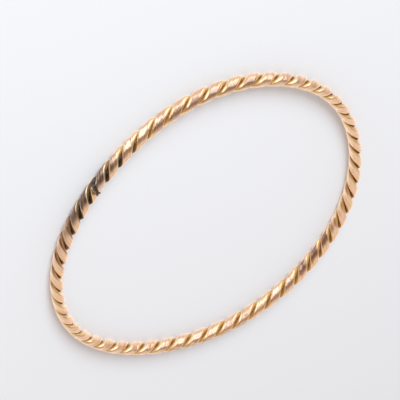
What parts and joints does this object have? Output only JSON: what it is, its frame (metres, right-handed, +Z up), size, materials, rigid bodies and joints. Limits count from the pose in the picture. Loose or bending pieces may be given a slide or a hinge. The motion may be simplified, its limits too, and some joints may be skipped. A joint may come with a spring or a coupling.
{
  "type": "twisted wire bangle",
  "caption": "Closed round bangle of smooth gold-coloured wire strands twisted round each other, worn on the wrist.",
  "frame": {"origin": "under the middle of the loop, on the surface that the bangle lies on", "axes": "+Z up, along the wrist that the loop goes round; the soldered joint of the strands is on the -Y side"},
  "size_m": [0.0672, 0.0658, 0.003],
  "materials": {
    "rose_gold": "smooth satin rose gold wire, darkened in the grooves and brown with tarnish beside the soldered joint"
  },
  "bodies": {
    "root": {"wire_strand_a": "rose_gold", "wire_strand_b": "rose_gold"}
  },
  "joints": []
}
